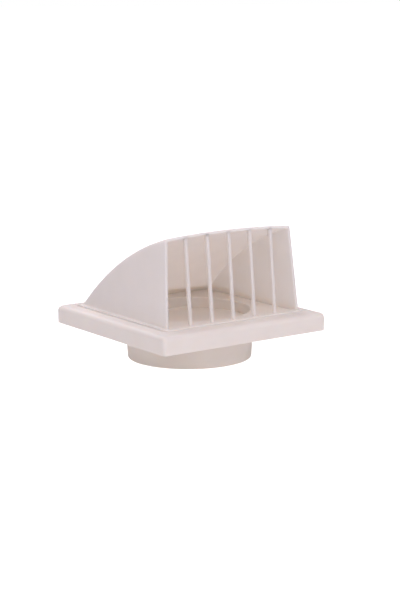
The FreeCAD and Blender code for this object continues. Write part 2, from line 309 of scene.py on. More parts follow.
def edge_profile(z_low, z_high, radius, steps=3):
    """(inset, z) pairs up the side of a slab whose two edges are rounded."""
    pairs = []
    for step in range(steps + 1):
        angle = math.radians(90 * step / steps)
        pairs.append((radius * (1 - math.sin(angle)), z_low + radius * (1 - math.cos(angle))))
    for step in range(steps + 1):
        angle = math.radians(90 * step / steps)
        pairs.append((radius * (1 - math.cos(angle)), z_high - radius * (1 - math.sin(angle))))
    return pairs


def slab(shell, outline, z_low, z_high, radius):
    """Solid plate of an anticlockwise outline, with rounded edges."""
    rows = [raised(inset(outline, depth), z) for depth, z in edge_profile(z_low, z_high, radius)]
    shell.grid(rows, closed=True)
    shell.face(rows[0][::-1])
    shell.face(rows[-1])


def circle(radius, steps, x=0.0, y=0.0):
    return arc(radius, 0, 360 - 360 / steps, steps - 1, x, y)


def lathe(shell, profile, steps):
    """Closed (radius, height) profile turned right round the spigot axis."""
    rows = [raised(circle(radius, steps), height) for radius, height in profile + profile[:1]]
    shell.grid(rows, closed=True)


def spun_points(points, degrees):
    """Points turned about the spigot axis."""
    turn = Matrix.Rotation(math.radians(degrees), 3, "Z")
    return [tuple(turn @ Vector(point)) for point in points]


def bar_outline(x_low, x_high, y_low, y_high):
    return [(x_low, y_low), (x_high, y_low), (x_high, y_high), (x_low, y_high)]


# ---- objects ------------------------------------------------------------------------------------
CREASE = 32                     # degrees; sharper edges stay crisp
FLAT_FACE_WEIGHT = 60           # how strongly large faces set the normals beside them


def add_object(mesh, name):
    made = bpy.data.objects.new(name, mesh)
    bpy.context.scene.collection.objects.link(made)
    return made


def combined(base, others, operation):
    """The base shell's mesh after a Boolean with other closed shells."""
    host = add_object(base.mesh("host"), "host")
    for number, other in enumerate(others):
        tool = add_object(other.mesh("tool"), "tool_%d" % number)
        step = host.modifiers.new("step", "BOOLEAN")
        step.operation = operation
        step.solver = "EXACT"
        step.object = tool
    graph = bpy.context.evaluated_depsgraph_get()
    mesh = bpy.data.meshes.new_from_object(host.evaluated_get(graph))
    for made in list(bpy.data.objects):
        if made.name.startswith("tool_") or made.name == "host":
            bpy.data.objects.remove(made)
    return mesh


def as_shell(mesh):
    shell = Shell()
    shell.bm.from_mesh(mesh)
    return shell


def finished(mesh, name, body, material, replaced):
    """A piece with smooth rounds and crisp edges, riding on its body in place of CAD nodes."""
    mesh.polygons.foreach_set("use_smooth", [True] * len(mesh.polygons))
    mesh.set_sharp_from_angle(angle=math.radians(CREASE))
    made = add_object(mesh, name)
    mesh.materials.clear()
    mesh.materials.append(material)
    even = made.modifiers.new("even_normals", "WEIGHTED_NORMAL")
    even.keep_sharp = True
    even.weight = FLAT_FACE_WEIGHT
    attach(made, body)
    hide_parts(*replaced)
    return made


# ---- the hood -----------------------------------------------------------------------------------
CHEEK_STEPS = 8
ARCH_STEPS = 5
ROOF_STEPS = 22
DEPTH_STEPS = 26
FILLET_STEPS = 4
ROLLED_STEPS = 8
TRAY_FILLET_STEPS = 4
FACE_STEPS = 5
MOUTH_ANGLES = (0.05, 0.6)      # radians from upright, about the roof axis, where the mouth is sought
BACK_ANGLES = (0.4, 1.0)        # and where the roof's lower end is sought


def mouth_y(z):
    return MOUTH_Y + MOUTH_LEAN * (z - FLOOR_Z)


def cheek_x(z, skin):
    return CHEEK_HALF - skin - CHEEK_DRAFT * (z - FLOOR_Z)


def section(phi, skin):
    """Rounding between roof and cheek in the half-plane at angle phi: centre, radius and angles."""
    radius = lerp(ARCH_R, ARCH_INNER_R, skin / HOOD_WALL)
    roof_radius = CROWN_R - skin
    crown = ROOF_R - CROWN_R
    slope = CHEEK_DRAFT * math.cos(phi)
    reach = CHEEK_HALF - skin - CHEEK_DRAFT * (ROOF_AXIS_Z - FLOOR_Z)
    x = CHEEK_HALF
    for _ in range(6):
        rho = crown + math.sqrt((roof_radius - radius) ** 2 - x ** 2)
        x = reach - slope * rho - radius * math.hypot(1, slope)
    return x, rho, radius, math.atan(slope), math.atan2(rho - crown, x)


def roof_point(place, phi, skin):
    """Point on the roof or its rounding. place runs from -2 (cheek) to -1 (roof) to 1 to 2 (cheek)."""
    x, rho, radius, low, high = section(phi, skin)
    side = math.copysign(1, place)
    if abs(place) > 1:
        angle = lerp(high, low, abs(place) - 1)
        x = side * (x + radius * math.cos(angle))
        rho = rho + radius * math.sin(angle)
    else:
        roof_radius = CROWN_R - skin
        x = place * (x + radius * math.cos(high))
        rho = ROOF_R - CROWN_R + math.sqrt(roof_radius ** 2 - x ** 2)
    return Vector((x, ROOF_AXIS_Y + rho * math.sin(phi), ROOF_AXIS_Z + rho * math.cos(phi)))


def solve(wanted, low, high):
    """Angle at which a rising function of the angle reaches zero."""
    for _ in range(40):
        middle = (low + high) / 2
        if wanted(middle) > 0:
            high = middle
        else:
            low = middle
    return (low + high) / 2


def mouth_angle(place, skin, depth):
    def ahead(phi):
        point = roof_point(place, phi, skin)
        return point.y - mouth_y(point.z) - depth
    return solve(ahead, *MOUTH_ANGLES)


def back_angle(place, skin, z):
    return solve(lambda phi: z - roof_point(place, phi, skin).z, *BACK_ANGLES)


def wall_lean(place, phi):
    """Outward normal of the outer wall at the foot: flat direction and lean from upright."""
    turn = max(0.0, 2 - abs(place)) * 90 if abs(place) > 1 else 90
    turn = math.radians(turn)
    cheek = Vector((1, 0, CHEEK_DRAFT)).normalized()
    roof = Vector((0, math.sin(phi), math.cos(phi)))
    normal = cheek * math.cos(turn) + roof * math.sin(turn)
    normal.x *= math.copysign(1, place)
    flat = Vector((normal.x, normal.y, 0))
    return flat.normalized(), math.atan2(normal.z, flat.length)


def tangent_length(lean):
    return FOOT_FILLET_R / math.tan((math.pi / 2 + lean) / 2)


def foot_tangent_z(place, phi):
    lean = wall_lean(place, phi)[1]
    return SILL_Z + tangent_length(lean) * math.cos(lean)


def roof_places():
    arch = [-2 + step / ARCH_STEPS for step in range(ARCH_STEPS)]
    roof = [-1 + 2 * step / ROOF_STEPS for step in range(ROOF_STEPS + 1)]
    return arch + roof + [-place for place in reversed(arch)]


def wall_row(skin, depth, progress, foot_z, back_z):
    """Points of one station, from the left foot over the roof to the right foot.

    progress is 0 at the mouth and 1 at the back; back_z(place) is the height where the roof ends.
    """
    over = []
    for place in roof_places():
        start = mouth_angle(place, skin, depth)
        end = back_angle(place, skin, back_z(place))
        over.append(roof_point(place, lerp(start, end, progress), skin))
    left_end = roof_point(-2, back_angle(-2, skin, back_z(-2)), skin)
    foot_y = lerp(mouth_y(foot_z) + depth, left_end.y, progress)
    if progress == 1:
        foot_z = left_end.z
    row = []
    for side, top in ((-1, over[0]), (1, over[-1])):
        foot = Vector((side * cheek_x(foot_z, skin), foot_y, foot_z))
        upright = [foot.lerp(top, step / CHEEK_STEPS) for step in range(CHEEK_STEPS)]
        row.append(upright)
    return row[0] + over + row[1][::-1]


def foot_fillet(base, leans):
    """Rows of the hollow rounding from the hood's outer wall down to the foot's top face."""
    rows = [[] for _ in range(FILLET_STEPS + 1)]
    last = len(base) - 1
    for index, (point, (flat, lean)) in enumerate(zip(base, leans)):
        length = tangent_length(lean)
        corner = point + flat * length * math.sin(lean) - Vector((0, 0, length * math.cos(lean)))
        centre = corner + flat * length + Vector((0, 0, FOOT_FILLET_R))
        for step in range(FILLET_STEPS + 1):
            angle = lerp(lean, math.pi / 2, step / FILLET_STEPS)
            drop = flat * math.cos(angle) + Vector((0, 0, math.sin(angle)))
            place = centre - drop * FOOT_FILLET_R
            if index in (0, last):
                place.y = mouth_y(place.z) + MOUTH_EDGE_R
            rows[step].append(place)
    return rows


def foot_outline(side_ys):
    """Clockwise outline of the foot rim, starting at the left side beside the mouth."""
    radius = FOOT_CORNER_R
    flat_x = FOOT_HALF - radius
    back_y = FOOT_BACK_Y - radius
    front_y = FOOT_FRONT_Y + radius
    outline = [(-FOOT_HALF, y) for y in side_ys]
    outline += arc(radius, 180, 90, ARCH_STEPS, -flat_x, back_y)
    outline += [(lerp(-flat_x, flat_x, step / ROOF_STEPS), FOOT_BACK_Y) for step in range(1, ROOF_STEPS)]
    outline += arc(radius, 90, 0, ARCH_STEPS, flat_x, back_y)
    outline += [(FOOT_HALF, y) for y in reversed(side_ys)]
    shared = len(outline)
    outline += arc(radius, 0, -90, ARCH_STEPS, flat_x, front_y)
    outline += [(lerp(flat_x, -flat_x, step / ROOF_STEPS), FOOT_FRONT_Y) for step in range(1, ROOF_STEPS)]
    outline += arc(radius, -90, -180, ARCH_STEPS, -flat_x, front_y)
    return outline, shared


def snap_tab(x, y, angle):
    """Shell of one barbed tab; its barb points outwards from the foot."""
    half = TAB_WALL / 2
    barb_z = TRAY_Z - TAB_PLAY
    top_z = FLOOR_Z + FOOT_HEIGHT / 2
    profile = [
        (-half, top_z), (-half, FLOOR_Z - TAB_REACH), (half - TAB_CHAMFER, FLOOR_Z - TAB_REACH),
        (half + TAB_BARB, barb_z - TAB_CHAMFER), (half + TAB_BARB, barb_z), (half, barb_z), (half, top_z),
    ]
    sides = []
    for across in (-TAB_WIDTH / 2, TAB_WIDTH / 2):
        turned = spun_points([(a, across, z) for a, z in profile], angle)
        sides.append([Vector(point) + Vector((x, y, 0)) for point in turned])
    return sides


def hood():
    """Roof, cheeks, sill and foot rim as one closed skin, with snap tabs under the foot."""
    shell = Shell()
    back_phi = math.acos((SILL_Z - ROOF_AXIS_Z) / ROOF_R)
    cheek_foot = foot_tangent_z(-2, back_phi)

    def outer_back(place):
        return foot_tangent_z(place, back_phi)

    def inner_back(_):
        return SILL_Z

    inner_start = mouth_y(SILL_Z) + MOUTH_EDGE_R
    inner_end = roof_point(-2, back_angle(-2, HOOD_WALL, SILL_Z), HOOD_WALL).y
    first = (SILL_INNER_Y - inner_start) / (inner_end - inner_start)
    stations = [0] + [lerp(first, 1, step / DEPTH_STEPS) for step in range(DEPTH_STEPS + 1)]
    outer = [wall_row(0, MOUTH_EDGE_R, station, cheek_foot, outer_back) for station in stations]
    inner = [wall_row(HOOD_WALL, MOUTH_EDGE_R, station, SILL_Z, inner_back) for station in stations]

    rim = []
    for angle in (30, 60, 90):
        skin = MOUTH_EDGE_R * (1 - math.cos(math.radians(angle)))
        depth = MOUTH_EDGE_R * (1 - math.sin(math.radians(angle)))
        foot_z = lerp(cheek_foot, SILL_Z, skin / MOUTH_EDGE_R)
        rim.append(wall_row(skin, depth, 0, foot_z, inner_back))
    for angle in (90, 60, 30):
        skin = HOOD_WALL - MOUTH_EDGE_R * (1 - math.cos(math.radians(angle)))
        depth = MOUTH_EDGE_R * (1 - math.sin(math.radians(angle)))
        rim.append(wall_row(skin, depth, 0, SILL_Z, inner_back))
    shell.grid(outer[::-1] + rim + inner)

    over = outer[-1][CHEEK_STEPS:-CHEEK_STEPS]
    base = [row[0] for row in outer[:-1]] + over + [row[-1] for row in reversed(outer[:-1])]
    leans = [wall_lean(-2, back_phi)] * (len(outer) - 1)
    leans += [wall_lean(place, back_phi) for place in roof_places()]
    leans += [wall_lean(2, back_phi)] * (len(outer) - 1)
    fillet = foot_fillet(base, leans)
    shell.grid(fillet)

    outline, shared = foot_outline([row[0].y for row in outer[:-1]])
    rounded = edge_profile(FLOOR_Z, SILL_Z, FOOT_EDGE_R)
    edge = [(depth, z) for depth, z in reversed(rounded) if z > FLOOR_Z + FOOT_EDGE_R]
    edge.append((0, FLOOR_Z))
    sides = [raised(inset(outline[::-1], depth)[::-1], z) for depth, z in edge]
    shell.grid(sides, closed=True)
    shell.grid([fillet[-1], sides[0][:shared]])

    front = sides[0][shared:]
    for end, beside in ((0, sides[0][0]), (-1, sides[0][shared - 1])):
        rim_feet = [row[end] for row in rim]
        arc_end = [row[end] for row in fillet]
        shell.face(arc_end + rim_feet[2::-1])
        feet = [arc_end[-1]] + rim_feet[2:] + [inner[0][end], inner[1][end]]
        if end == 0:
            left = feet
        else:
            right = feet
    shell.face(left + right[::-1] + [sides[0][shared - 1]] + front + [sides[0][0]])

    inner_over = inner[-1][CHEEK_STEPS:-CHEEK_STEPS]
    high = [row[0] for row in inner[1:-1]] + inner_over + [row[-1] for row in reversed(inner[1:-1])]
    ends = [Vector((-cheek_x(FLOOR_Z, HOOD_WALL), row[0].y, FLOOR_Z)) for row in inner[1:-1]]
    low = list(ends)
    for place in roof_places():
        low.append(roof_point(place, back_angle(place, HOOD_WALL, FLOOR_Z), HOOD_WALL))
    low += [Vector((-point.x, point.y, point.z)) for point in reversed(ends)]
    shell.grid([high, low], closed=True)
    shell.weld()
    open_edges = [edge for edge in shell.bm.edges if edge.is_boundary]
    bmesh.ops.triangle_fill(shell.bm, edges=open_edges, use_beauty=True)
    for place in TAB_PLACES:
        near, far = snap_tab(*place)
        shell.grid([near, far], closed=True)
        shell.face(near[::-1])
        shell.face(far)
    return shell.mesh("cowl_hood_skin")


# ---- the grille bars ----------------------------------------------------------------------------
def roof_height(x, y, skin):
    """Height of the roof, lowered by skin, over a point."""
    rho = ROOF_R - CROWN_R + math.sqrt((CROWN_R - skin) ** 2 - x ** 2)
    return ROOF_AXIS_Z + math.sqrt(rho ** 2 - (y - ROOF_AXIS_Y) ** 2)


def grille_bar(low, high):
    """Upright bar that leans with the mouth; both ends go a little way into the hood."""
    shell = Shell()
    middle = (low.x + high.x) / 2
    half = (high.x - low.x) / 2
    foot_z = SILL_Z - BAR_BITE
    section_steps = 3
    levels = 16
    columns = []
    for corner_x, corner_y, start in ((1, 0, -90), (1, 1, 0), (-1, 1, 90), (-1, 0, 180)):
        for a, b in arc(BAR_EDGE_R, start, start + 90, section_steps):
            x = middle + corner_x * (half - BAR_EDGE_R) + a
            inwards = BAR_EDGE_R + b if corner_y == 0 else b - BAR_EDGE_R
            top_z = foot_z
            for _ in range(6):
                y = bar_y(top_z, corner_y, inwards)
                top_z = roof_height(x, y, HOOD_WALL - BAR_BITE)
            column = []
            for level in range(levels + 1):
                z = lerp(foot_z, top_z, level / levels)
                column.append((x, bar_y(z, corner_y, inwards), z))
            columns.append(column)
    rows = [[column[level] for column in columns] for level in range(levels + 1)]
    shell.grid(rows, closed=True)
    shell.face(rows[0][::-1])
    shell.face(rows[-1])
    return shell.mesh("grille_bar_skin")


def bar_y(z, back, inwards):
    """Y of a bar's front (back 0) or rear (back 1) face at height z, plus a step inwards."""
    depth = lerp(BAR_DEPTH_FOOT, BAR_DEPTH_TOP, (z - SILL_Z) / (BAR_TAPER_TOP_Z - SILL_Z))
    front = mouth_y(z) + BAR_SETBACK
    return front + back * (depth - BAR_SETBACK) + inwards


# ---- the flange plate -----------------------------------------------------------------------------
def square_row(depth, corner, z, steps=24):
    half = FLANGE_HALF - depth
    return raised(rounded_outline(half, -half, half, corner, steps), z)


def round_row(radius, z, beside):
    """Circle points in the same directions as the points of a row beside it."""
    row = []
    for x, y, _ in beside:
        length = math.hypot(x, y)
        row.append((x * radius / length, y * radius / length, z))
    return row


def between(first, second, steps):
    """Rows between two rows of the same length, ends left out."""
    rows = []
    for step in range(1, steps):
        share = step / steps
        rows.append([Vector(a).lerp(Vector(b), share) for a, b in zip(first, second)])
    return rows


def block(x_low, x_high, y_low, y_high, z_low, z_high, degrees, radius=RIB_EDGE_R):
    """Closed shell of a slightly rounded block, turned about the spigot axis."""
    shell = Shell()
    outline = spun_outline(bar_outline(x_low, x_high, y_low, y_high), degrees)
    slab(shell, outline, z_low, z_high, radius)
    return shell


def spun_outline(outline, degrees):
    return [point[:2] for point in spun_points([(x, y, 0) for x, y in outline], degrees)]


def post(radius, z_low, z_high, distance=0.0, degrees=0.0, steps=48, edge=RIB_EDGE_R):
    """Closed shell of an upright round post at a distance from the spigot axis."""
    shell = Shell()
    x = distance * math.cos(math.radians(degrees))
    y = distance * math.sin(math.radians(degrees))
    slab(shell, circle(radius, steps, x, y), z_low, z_high, edge)
    return shell


def flange_plate():
    """Hollow square plate with a rolled edge, ribs and screw bosses below, and slots for the tabs."""
    shell = Shell()
    face_edge = square_row(FLANGE_EDGE_R, FLANGE_EDGE_CORNER_R, FLOOR_Z)
    rows = []
    for step in range(ROLLED_STEPS + 1):
        angle = math.radians(90 * step / ROLLED_STEPS)
        depth = FLANGE_EDGE_R * (1 - math.sin(angle))
        z = FLOOR_Z - FLANGE_EDGE_R * (1 - math.cos(angle))
        corner = lerp(FLANGE_CORNER_R, FLANGE_EDGE_CORNER_R, depth / FLANGE_EDGE_R)
        rows.append(square_row(depth, corner, z))
    rows.append(square_row(0, FLANGE_CORNER_R, RIM_R))
    rows.append(square_row(RIM_R * ROUND_SHARE, FLANGE_CORNER_R, RIM_R * ROUND_SHARE))
    rows.append(square_row(RIM_R, FLANGE_CORNER_R - RIM_R, 0))
    rows.append(square_row(FLANGE_WALL - RIM_R, TRAY_CORNER_R, 0))
    rows.append(square_row(FLANGE_WALL - RIM_R * ROUND_SHARE, TRAY_CORNER_R, RIM_R * ROUND_SHARE))
    rows.append(square_row(FLANGE_WALL, TRAY_CORNER_R, RIM_R))
    for step in range(TRAY_FILLET_STEPS + 1):
        angle = math.radians(90 * step / TRAY_FILLET_STEPS)
        depth = FLANGE_WALL + TRAY_FILLET_R * (1 - math.cos(angle))
        z = TRAY_Z - TRAY_FILLET_R * (1 - math.sin(angle))
        rows.append(square_row(depth, TRAY_CORNER_R, z))
    hub = round_row(POCKET_R, TRAY_Z, face_edge)
    rows += between(rows[-1], hub, FACE_STEPS)
    rows.append(hub)
    rows.append(round_row(POCKET_R, FLOOR_Z - HOLE_EDGE_R, face_edge))
    turned_in = HOLE_EDGE_R * ROUND_SHARE
    rows.append(round_row(POCKET_R + turned_in, FLOOR_Z - turned_in, face_edge))
    mouth = round_row(POCKET_R + HOLE_EDGE_R, FLOOR_Z, face_edge)
    rows.append(mouth)
    rows += between(mouth, face_edge, FACE_STEPS)
    rows.append(face_edge)
    shell.grid(rows, closed=True)

    inner = FLANGE_HALF - FLANGE_WALL
    corner_reach = (inner - TRAY_CORNER_R) * math.sqrt(2) + TRAY_CORNER_R
    half = RIB_WALL / 2
    top = TRAY_Z + WELD
    added = []
    for turn in (0, 90, 180, 270):
        added.append(block(PLATE_R + RIB_GAP, inner + WELD, -half, half, RIB_FOOT_Z, top, turn))
    for turn in DIAGONALS:
        added.append(block(SCREW_PCR + RIB_GAP, corner_reach + WELD, -half, half, RIB_FOOT_Z, top, turn))
        added.append(post(BOSS_R, RIB_FOOT_Z, top, SCREW_PCR, turn))
    joined = as_shell(combined(shell, added, "UNION"))
    removed = [post(SCREW_R, PLATE_Z, SCREW_HIGH.z, SCREW_PCR, turn, steps=24) for turn in DIAGONALS]
    play_x = TAB_WALL / 2 + TAB_PLAY
    play_y = TAB_WIDTH / 2 + TAB_PLAY
    for x, y, turn in TAB_PLACES:
        slot = Shell()
        corners = spun_outline(bar_outline(-play_x, play_x, -play_y, play_y), turn)
        moved = [(a + x, b + y) for a, b in corners]
        slab(slot, moved, TRAY_Z - CUT_PAST, FLOOR_Z + CUT_PAST, SLOT_EDGE_R)
        removed.append(slot)
    return combined(joined, removed, "DIFFERENCE")


# ---- the spigot -----------------------------------------------------------------------------------
def sector(shell, profile, start, end, steps):
    """Closed (radius, height) profile swept about the spigot axis through part of a turn."""
    rows = []
    for step in range(steps + 1):
        angle = math.radians(lerp(start, end, step / steps))
        rows.append([(r * math.cos(angle), r * math.sin(angle), z) for r, z in profile])
    shell.grid(rows, closed=True)
    shell.face(rows[0][::-1])
    shell.face(rows[-1])


def ear_outline():
    """Round clamp plate with four ears on the diagonals."""
    outline = []
    neck = math.degrees(math.asin(EAR_R / PLATE_R))
    for turn in DIAGONALS:
        outline += arc(PLATE_R, turn - 90 + neck, turn - neck, 24)
        centre = Vector((math.cos(math.radians(turn)), math.sin(math.radians(turn)))) * SCREW_PCR
        outline += arc(EAR_R, turn - 90, turn + 90, 16, centre.x, centre.y)
    return outline


def spigot():
    """Duct tube with its collar, clamp plate with ears, and the ledge that the flap rests on."""
    round_r = SPIGOT_RIM_R
    step_z = SEAT_Z - SEAT_WALL / 2
    tube = Shell()
    profile = arc(round_r, 180, 270, 4, BORE_R + round_r, SPIGOT_END_Z + round_r)
    profile += arc(round_r, 270, 360, 4, LEAD_IN_R - round_r, SPIGOT_END_Z + round_r)
    profile += [(SPIGOT_R, LEAD_IN_Z), (SPIGOT_R, -HUB_STEP), (SPIGOT_R + HUB_STEP, 0)]
    profile += [(HUB_R - RIM_R, 0), (HUB_R, RIM_R), (HUB_R, TRAY_Z), (POCKET_R, TRAY_Z)]
    profile += [(POCKET_R, step_z), (BORE_R, step_z)]
    lathe(tube, profile, ROUND_STEPS)

    plate = Shell()
    slab(plate, ear_outline(), PLATE_Z, PLATE_Z + PLATE_WALL, PLATE_EDGE_R)
    ring = combined(plate, [post((POCKET_R + HUB_R) / 2, 0, FLOOR_Z, steps=ROUND_STEPS)], "DIFFERENCE")
    ledge = Shell()
    ledge_edge = edge_profile(SEAT_Z - SEAT_WALL, SEAT_Z, SEAT_EDGE_R)
    ledge_profile = [(depth + SEAT_R, z) for depth, z in ledge_edge]
    ledge_profile += [(POCKET_R + SEAT_BITE, SEAT_Z), (POCKET_R + SEAT_BITE, SEAT_Z - SEAT_WALL)]
    sector(ledge, ledge_profile, *SEAT_ENDS, 120)
    joined = as_shell(combined(tube, [as_shell(ring), ledge], "UNION"))

    hole_ends = (PLATE_Z - CUT_PAST, PLATE_Z + PLATE_WALL + CUT_PAST)
    holes = [post(SCREW_R, *hole_ends, SCREW_PCR, turn, 24) for turn in DIAGONALS]
    holes.append(pin_rod(PIN_R, HUB_R + CUT_PAST, HOLE_CHAMFER))
    return combined(joined, holes, "DIFFERENCE")


# ---- flap, pin and screws -------------------------------------------------------------------------
def pin_rod(radius, half, chamfer, steps=32):
    """Closed rod on the hinge axis."""
    shell = Shell()
    ends = [(radius - chamfer, -half), (radius, chamfer - half)]
    ends += [(size, -x) for size, x in reversed(ends)]
    rows = []
    for size, x in ends:
        rows.append([(x, y, z) for y, z in circle(size, steps, HINGE_Y, HINGE_Z)])
    shell.grid(rows, closed=True)
    shell.face(rows[0][::-1])
    shell.face(rows[-1])
    return shell


def flap_outline():
    """Disc with a flat on each shoulder and a notch beside each end of the knuckle."""
    near, far = [math.radians(angle) for angle in FLAT_ANGLES]
    first = Vector((FLAP_R * math.cos(near), FLAP_R * math.sin(near)))
    second = Vector((FLAP_R * math.cos(far), FLAP_R * math.sin(far)))
    notch_y = HINGE_Y - KNUCKLE_R - KNUCKLE_PLAY
    share = (notch_y - first.y) / (second.y - first.y)
    top = math.degrees(math.acos(KNUCKLE_HALF / FLAP_R))
    right = arc(FLAP_R, -90, FLAT_ANGLES[0], 56)
    right.append(tuple(first.lerp(second, share)))
    right += [(KNUCKLE_HALF, notch_y)]
    right += arc(FLAP_R, top, 90, 16)
    left = [(-x, y) for x, y in reversed(right[1:-1])]
    return right + left


def flap():
    """Thin disc with stiffening ribs below and a knuckle that turns on the pin."""
    disc = Shell()
    slab(disc, flap_outline(), FLAP_Z, FLAP_Z + FLAP_WALL, FLAP_EDGE_R)
    rib_z = (FLAP_Z - FLAP_RIB_DEPTH, FLAP_Z + FLAP_WALL / 2)
    half = FLAP_RIB_WALL / 2
    ring = Shell()
    ring_edge = edge_profile(*rib_z, FLAP_RIB_EDGE_R)
    ring_profile = [(FLAP_RIB_RING_R - FLAP_RIB_WALL + depth, z) for depth, z in ring_edge]
    ring_profile += [(FLAP_RIB_RING_R - depth, z) for depth, z in reversed(ring_edge)]
    lathe(ring, ring_profile, 120)
    added = [pin_rod(KNUCKLE_R, KNUCKLE_HALF, KNUCKLE_CHAMFER), ring]
    for x in FLAP_RIB_XS:
        low_y = -math.sqrt((SEAT_R - FLAP_RIB_INSET) ** 2 - x ** 2)
        rib = Shell()
        slab(rib, bar_outline(x - half, x + half, low_y, HINGE_Y), *rib_z, FLAP_RIB_EDGE_R)
        added.append(rib)
    joined = as_shell(combined(disc, added, "UNION"))
    return combined(joined, [pin_rod(PIN_R + PIN_PLAY, FLAP_R, HOLE_CHAMFER)], "DIFFERENCE")


def screw(turn):
    """Pan-head screw with a cross recess, head downwards."""
    head_low = SCREW_LOW.z
    tip = SCREW_HIGH.z
    profile = [(0.0, head_low)]
    for angle in (15, 30, 44):
        swell = math.radians(angle)
        profile.append((HEAD_R * math.sin(swell), head_low + HEAD_DOME * (1 - math.cos(swell))))
    profile += [(HEAD_R, PLATE_Z - HEAD_EDGE), (HEAD_R, PLATE_Z - HEAD_LIP), (HEAD_R - HEAD_LIP, PLATE_Z)]
    profile += [(SCREW_R, PLATE_Z), (SCREW_R, tip - TIP_LENGTH), (0.0, tip)]
    shell = Shell()
    shell.grid([raised(circle(radius, 60), height) for radius, height in profile], closed=True)
    arms = []
    for angle in (0, 90):
        arm = block(-RECESS_HALF, RECESS_HALF, -RECESS_WALL / 2, RECESS_WALL / 2,
                    head_low - CUT_PAST, head_low + RECESS_DEPTH, angle, RECESS_EDGE_R)
        arms.append(arm)
    mesh = combined(shell, arms, "DIFFERENCE")
    x = SCREW_PCR * math.cos(math.radians(turn)) * MM
    y = SCREW_PCR * math.sin(math.radians(turn)) * MM
    twist = Matrix.Rotation(math.radians(turn * SCREW_TWIST), 4, "Z")
    mesh.transform(Matrix.Translation((x, y, 0)) @ twist)
    return mesh


# ---- materials ----------------------------------------------------------------------------------
PLASTIC_SHADE = (0.92, 0.885, 0.84)
DARKEST = 0.985                 # shares of that shade between which the tone drifts
LIGHTEST = 1.012
WAVE_HEIGHT = 0.35              # millimetres, of the broad unevenness of the moulding
THICK_WALL_GLOW = 0.0006        # metres that light goes into the plastic
THIN_WALL_GLOW = 0.010


def new_material(name, **values):
    """Principled material with constant values on the shader's own sockets."""
    made = bpy.data.materials.new(name)
    made.use_nodes = True
    shader = made.node_tree.nodes["Principled BSDF"]
    for socket, value in values.items():
        shader.inputs[socket.replace("_", " ")].default_value = value
    return made


def add_noise(material, cells_per_metre, detail=2.0, stretch=(1, 1, 1)):
    """Value output of a noise in the object's own metres."""
    nodes = material.node_tree.nodes
    links = material.node_tree.links
    place = nodes.new("ShaderNodeTexCoord")
    mapping = nodes.new("ShaderNodeMapping")
    mapping.inputs["Scale"].default_value = stretch
    texture = nodes.new("ShaderNodeTexNoise")
    texture.inputs["Scale"].default_value = cells_per_metre
    texture.inputs["Detail"].default_value = detail
    links.new(place.outputs["Object"], mapping.inputs["Vector"])
    links.new(mapping.outputs["Vector"], texture.inputs["Vector"])
    return texture.outputs["Fac"]


def color_by(material, value, dark, light):
    """Base colour that drifts between two shades with a noise."""
    ramp = material.node_tree.nodes.new("ShaderNodeValToRGB")
    ramp.color_ramp.elements[0].position = 0.34
    ramp.color_ramp.elements[0].color = (*dark, 1)
    ramp.color_ramp.elements[1].position = 0.66
    ramp.color_ramp.elements[1].color = (*light, 1)
    material.node_tree.links.new(value, ramp.inputs["Fac"])
    shader = material.node_tree.nodes["Principled BSDF"]
    material.node_tree.links.new(ramp.outputs["Color"], shader.inputs["Base Color"])


def roughness_by(material, value, low, high):
    spread = material.node_tree.nodes.new("ShaderNodeMapRange")
    spread.inputs["From Min"].default_value = 0.3
    spread.inputs["From Max"].default_value = 0.7
    spread.inputs["To Min"].default_value = low
    spread.inputs["To Max"].default_value = high
    material.node_tree.links.new(value, spread.inputs["Value"])
    shader = material.node_tree.nodes["Principled BSDF"]
    material.node_tree.links.new(spread.outputs["Result"], shader.inputs["Roughness"])


def bump_by(material, layers):
    """Stack of bumps, each a noise value with its height in millimetres."""
    shader = material.node_tree.nodes["Principled BSDF"]
    normal = None
    for value, height in layers:
        bump = material.node_tree.nodes.new("ShaderNodeBump")
        bump.inputs["Distance"].default_value = height * MM
        material.node_tree.links.new(value, bump.inputs["Height"])
        if normal:
            material.node_tree.links.new(normal, bump.inputs["Normal"])
        normal = bump.outputs["Normal"]
    material.node_tree.links.new(normal, shader.inputs["Normal"])


def moulded_plastic(name, roughness, grain):
    """White moulded plastic, slightly translucent, with faint drifts of tone.

    grain is the height in millimetres of its spark-eroded texture.
    """
    material = new_material(
        name, Subsurface_Weight=1.0, Subsurface_Radius=(1.0, 0.88, 0.78),
        Subsurface_Scale=THICK_WALL_GLOW, IOR=1.49)
    dark = [channel * DARKEST for channel in PLASTIC_SHADE]
    light = [channel * LIGHTEST for channel in PLASTIC_SHADE]
    tone = add_noise(material, 42, 4)
    color_by(material, tone, dark, light)
    gloss = add_noise(material, 160, 4)
    roughness_by(material, gloss, roughness - 0.05, roughness + 0.06)
    waves = add_noise(material, 38, 1)
    texture = add_noise(material, 2300, 2)
    bump_by(material, [(waves, WAVE_HEIGHT), (texture, grain)])
    return material


def glow_by_height(material, low_z, high_z):
    """Lets light deeper into the thin walls above high_z than into the thick foot below low_z."""
    nodes = material.node_tree.nodes
    links = material.node_tree.links
    place = nodes.new("ShaderNodeTexCoord")
    parts = nodes.new("ShaderNodeSeparateXYZ")
    depth = nodes.new("ShaderNodeMapRange")
    depth.inputs["From Min"].default_value = low_z * MM
    depth.inputs["From Max"].default_value = high_z * MM
    depth.inputs["To Min"].default_value = THICK_WALL_GLOW
    depth.inputs["To Max"].default_value = THIN_WALL_GLOW
    links.new(place.outputs["Object"], parts.inputs["Vector"])
    links.new(parts.outputs["Z"], depth.inputs["Value"])
    links.new(depth.outputs["Result"], nodes["Principled BSDF"].inputs["Subsurface Scale"])


